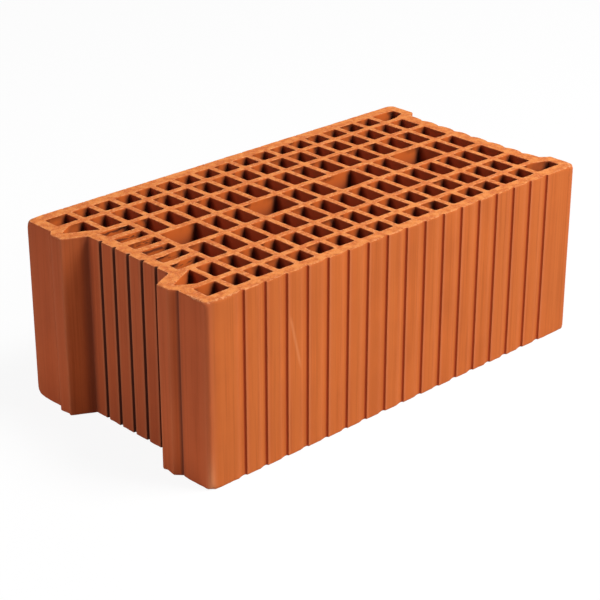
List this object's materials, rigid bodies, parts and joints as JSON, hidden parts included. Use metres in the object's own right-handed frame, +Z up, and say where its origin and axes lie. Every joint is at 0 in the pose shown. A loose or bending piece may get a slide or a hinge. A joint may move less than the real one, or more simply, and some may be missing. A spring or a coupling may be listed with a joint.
{
  "type": "hollow clay block",
  "caption": "Extruded fired-clay wall block with upright through cells, grip holes, grooved long faces and a mortar pocket in one end.",
  "frame": {"origin": "centre of the underside, on the floor", "axes": "+X along the length, from the mortar pocket to the ribbed end; +Y across the wall, from the near long face to the far one; +Z up along the cells"},
  "size_m": [0.4774, 0.25, 0.175],
  "materials": {
    "clay": "matte fired clay"
  },
  "bodies": {
    "root": {"hollow_clay_block": "clay"}
  },
  "joints": []
}
